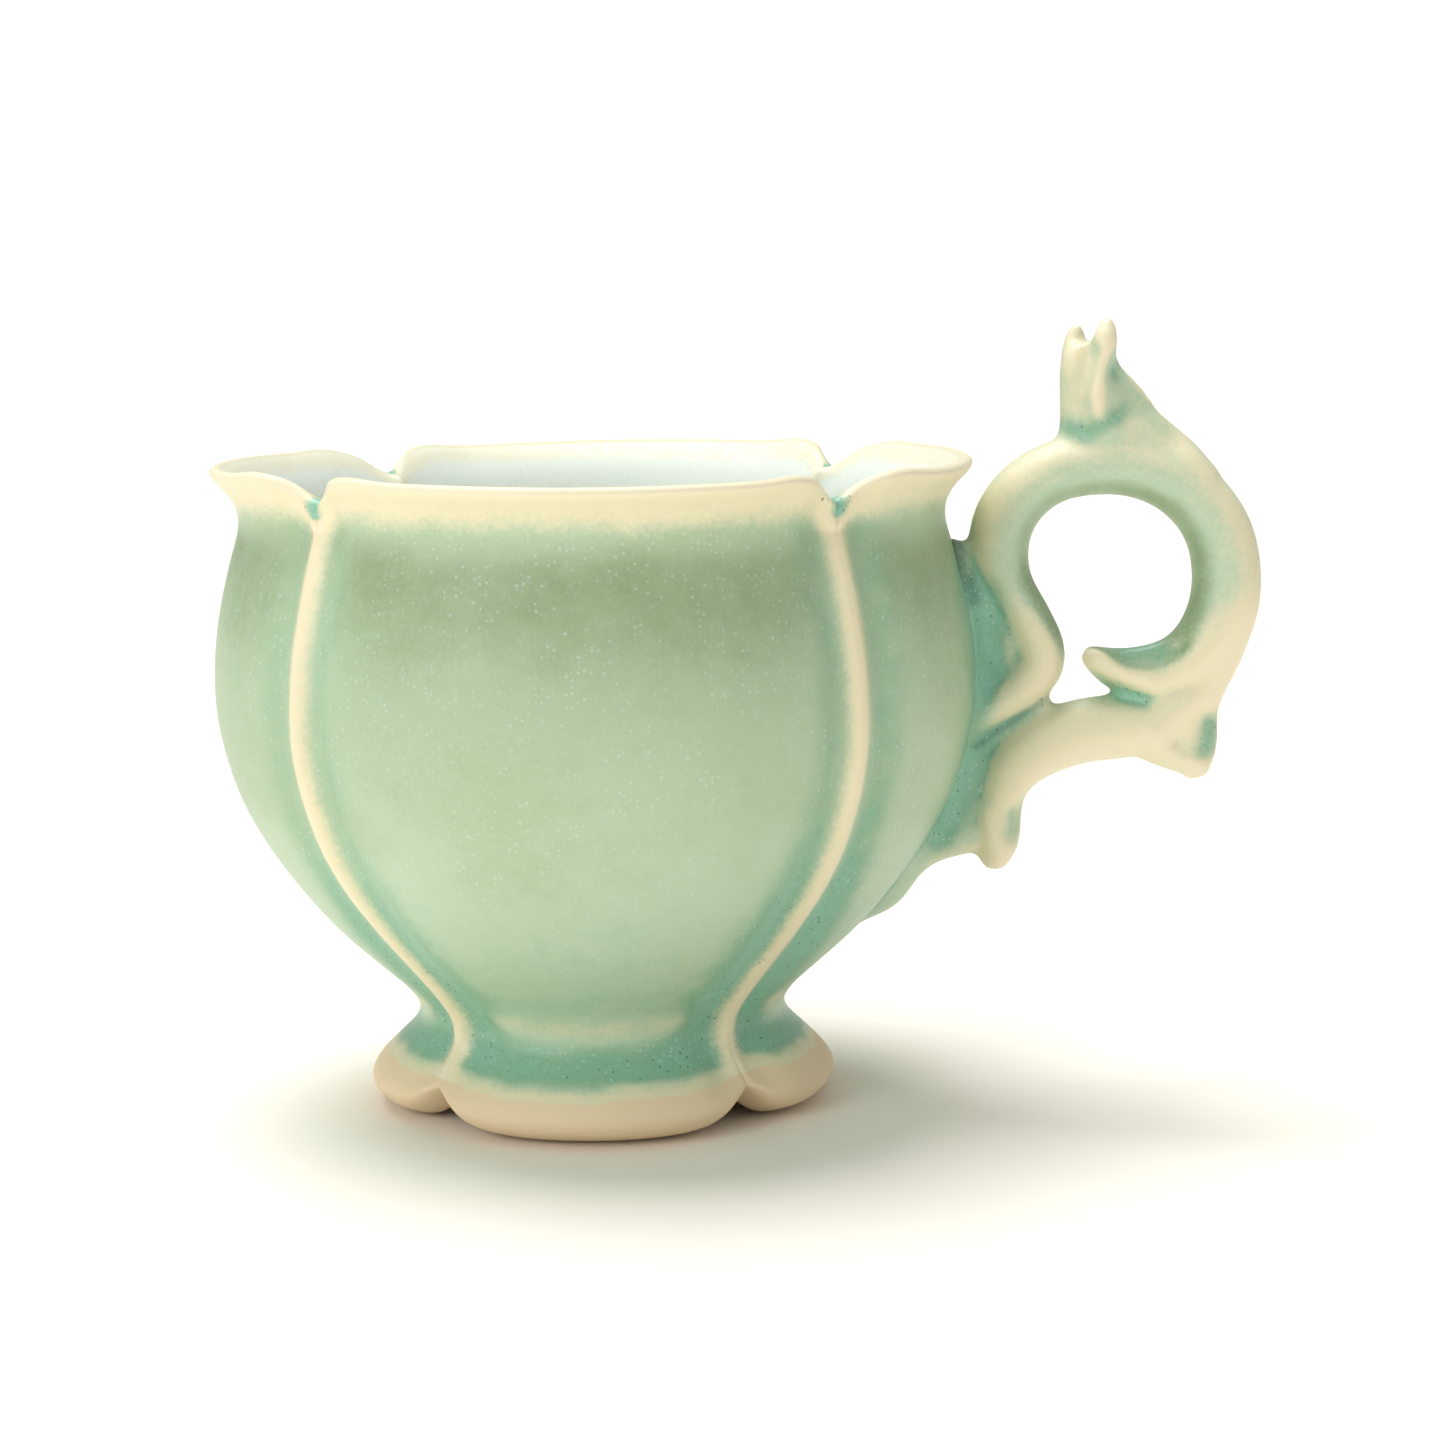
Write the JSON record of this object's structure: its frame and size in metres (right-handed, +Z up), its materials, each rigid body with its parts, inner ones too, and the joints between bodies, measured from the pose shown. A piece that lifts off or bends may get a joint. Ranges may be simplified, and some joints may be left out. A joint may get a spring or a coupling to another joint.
{
  "type": "teacup",
  "caption": "Lobed porcelain teacup with raised seams, flared lip, footed base and a ring handle with a scroll and leaves.",
  "frame": {"origin": "on the cup's axis, at the plane that the foot stands on", "axes": "+Z up, +X towards the handle, so the lobes' middles are on +X, +Y, -X and -Y"},
  "size_m": [0.1309, 0.0952, 0.0969],
  "materials": {
    "wall_glaze": "satin celadon glaze",
    "handle_glaze": "satin celadon glaze, cream where thin"
  },
  "bodies": {
    "root": {"wall_front": "wall_glaze", "wall_right": "wall_glaze", "wall_back": "wall_glaze", "wall_left": "wall_glaze", "floor": "wall_glaze", "handle_ring": "handle_glaze", "handle_scroll": "handle_glaze", "handle_arm": "handle_glaze", "thumb_leaf": "handle_glaze", "heel_leaf": "handle_glaze", "inner_leaf": "handle_glaze", "drop_leaf": "handle_glaze", "tail": "handle_glaze", "saddle": "handle_glaze"}
  },
  "joints": []
}
